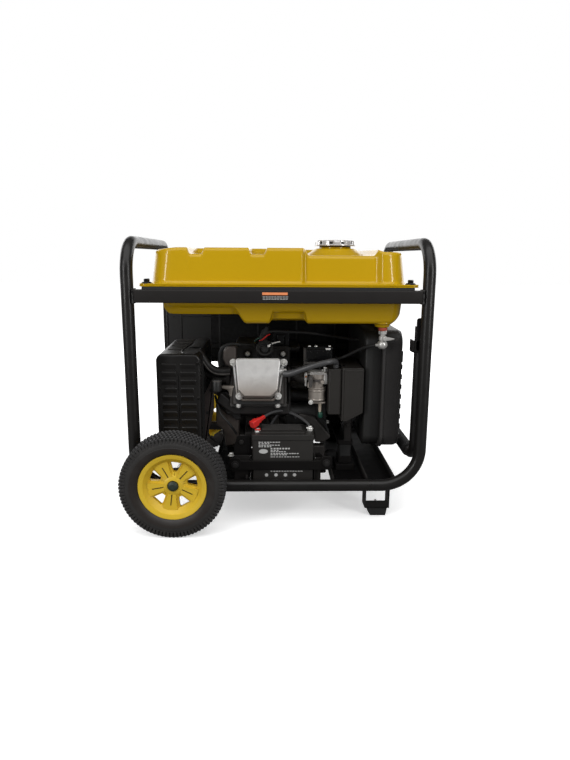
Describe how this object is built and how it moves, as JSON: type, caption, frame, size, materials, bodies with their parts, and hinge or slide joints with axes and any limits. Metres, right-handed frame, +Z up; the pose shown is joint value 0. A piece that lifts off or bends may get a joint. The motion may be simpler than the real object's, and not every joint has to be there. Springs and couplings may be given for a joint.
{
  "type": "portable generator",
  "caption": "Open-frame engine-driven generator in a bent tube cradle with a fuel tank on top, a wheel pair at one end and a folding pull handle at the other.",
  "frame": {"origin": "on the ground, under the middle of the bounding box", "axes": "+X from the wheels towards the folding handle, +Y from the engine side to the control panel side, +Z up"},
  "size_m": [0.708, 0.686, 0.671],
  "materials": {
    "black_paint": "satin black powder coat with a fine orange peel",
    "tank_yellow": "high-gloss yellow paint",
    "wheel_yellow": "moulded yellow plastic, semi-gloss",
    "tyre": "matt black-brown rubber, worn to grey on the shoulder",
    "black_rubber": "matt moulded rubber",
    "grey_hose": "smooth grey rubber hose",
    "black_plastic": "fine-grained moulded plastic",
    "red_plastic": "soft red vinyl and red switch plastic",
    "cast_aluminium": "fine sand-cast, lightly blasted",
    "dark_cast_aluminium": "cast aluminium painted dark grey",
    "chrome": "bright chrome plate",
    "zinc_steel": "zinc-plated steel",
    "heat_black_steel": "heat-resistant matt black",
    "copper": "varnished copper windings"
  },
  "bodies": {
    "frame": {"frame_tube_engine_side": "black_paint", "frame_tube_panel_side": "black_paint", "carry_bar_left": "black_paint", "carry_bar_right": "black_paint", "tank_rail_engine_side": "black_paint", "tank_rail_panel_side": "black_paint", "base_channel_left": "black_paint", "base_channel_right": "black_paint", "foot_bracket_engine_side": "black_paint", "foot_bracket_panel_side": "black_paint", "handle_bracket_engine_side": "black_paint", "handle_bracket_panel_side": "black_paint", "battery_strap": "black_paint", "battery_tray": "black_paint", "muffler_guard": "black_paint", "cylinder_shroud": "black_paint", "tank_upper": "tank_yellow", "tank_lower": "tank_yellow", "filler_neck": "tank_yellow", "foot_pad_engine_side": "black_rubber", "foot_pad_panel_side": "black_rubber", "fuel_hose": "black_rubber", "engine_mount_left_engine_side": "black_rubber", "engine_mount_left_panel_side": "black_rubber", "engine_mount_right_engine_side": "black_rubber", "engine_mount_right_panel_side": "black_rubber", "spark_lead": "black_rubber", "battery_cable_black": "black_rubber", "breather_hose": "grey_hose", "air_cleaner_base": "black_plastic", "air_cleaner_cover": "black_plastic", "alternator_casing": "black_plastic", "fan_casing": "black_plastic", "recoil_housing": "black_plastic", "battery": "black_plastic", "control_panel": "black_plastic", "battery_cable_red": "red_plastic", "valve_cover": "cast_aluminium", "carburettor": "cast_aluminium", "petcock_body": "cast_aluminium", "crankcase": "dark_cast_aluminium", "cylinder_head": "dark_cast_aluminium", "axle": "zinc_steel", "exhaust_pipe": "heat_black_steel", "muffler": "heat_black_steel", "stator": "copper"},
    "wheel_engine_side": {"tyre_engine_side": "tyre", "rim_engine_side": "wheel_yellow"},
    "wheel_panel_side": {"tyre_panel_side": "tyre", "rim_panel_side": "wheel_yellow"},
    "handle": {"handle_tube": "black_paint", "handle_grip": "black_rubber"},
    "cap_seal": {"cap_gasket": "black_rubber"},
    "cap": {"fuel_cap": "chrome"},
    "fuel_tap": {"petcock_lever": "cast_aluminium"},
    "throttle": {"throttle_lever": "zinc_steel"},
    "rotor": {"rotor": "heat_black_steel"},
    "starter_pull": {"recoil_grip": "black_plastic"},
    "switch": {"start_switch": "red_plastic"},
    "breaker": {"breaker_button": "black_plastic"}
  },
  "joints": [
    {"name": "wheel_engine_side_spin", "type": "hinge", "parent": "frame", "child": "wheel_engine_side", "pos_m": [-0.234, -0.312, 0.12], "axis": [0, 1, 0], "continuous": true},
    {"name": "wheel_panel_side_spin", "type": "hinge", "parent": "frame", "child": "wheel_panel_side", "pos_m": [-0.234, 0.312, 0.12], "axis": [0, 1, 0], "continuous": true},
    {"name": "handle_fold", "type": "hinge", "parent": "frame", "child": "handle", "pos_m": [0.334, 0, 0.455], "axis": [0, -1, 0], "range_deg": [0, 90]},
    {"name": "cap_lift", "type": "slide", "parent": "frame", "child": "cap_seal", "axis": [0, 0, 1], "range_m": [0, 0.05]},
    {"name": "cap_turn", "type": "hinge", "parent": "cap_seal", "child": "cap", "pos_m": [0.154, 0, 0.66], "axis": [0, 0, 1], "range_deg": [0, 90]},
    {"name": "fuel_tap_turn", "type": "hinge", "parent": "frame", "child": "fuel_tap", "pos_m": [0.256, -0.2042, 0.4385], "axis": [0, 1, 0], "range_deg": [0, 90]},
    {"name": "throttle_turn", "type": "hinge", "parent": "frame", "child": "throttle", "pos_m": [0.084, -0.1648, 0.334], "axis": [0, 1, 0], "range_deg": [0, 60], "stiffness_Nm_per_rad": 0.01, "springref_deg": -20.05},
    {"name": "rotor_spin", "type": "hinge", "parent": "frame", "child": "rotor", "pos_m": [0.2, 0.06, 0.25], "axis": [1, 0, 0], "continuous": true},
    {"name": "starter_pull_slide", "type": "slide", "parent": "frame", "child": "starter_pull", "axis": [1, 0, 0], "range_m": [0, 0.045], "stiffness_N_per_m": 40, "springref_m": -0.1},
    {"name": "switch_rock", "type": "hinge", "parent": "frame", "child": "switch", "pos_m": [-0.076, 0.261, 0.4], "axis": [1, 0, 0], "range_deg": [-8, 8]},
    {"name": "breaker_press", "type": "slide", "parent": "frame", "child": "breaker", "axis": [0, -1, 0], "range_m": [0, 0.004], "stiffness_N_per_m": 500, "springref_m": -0.002}
  ]
}
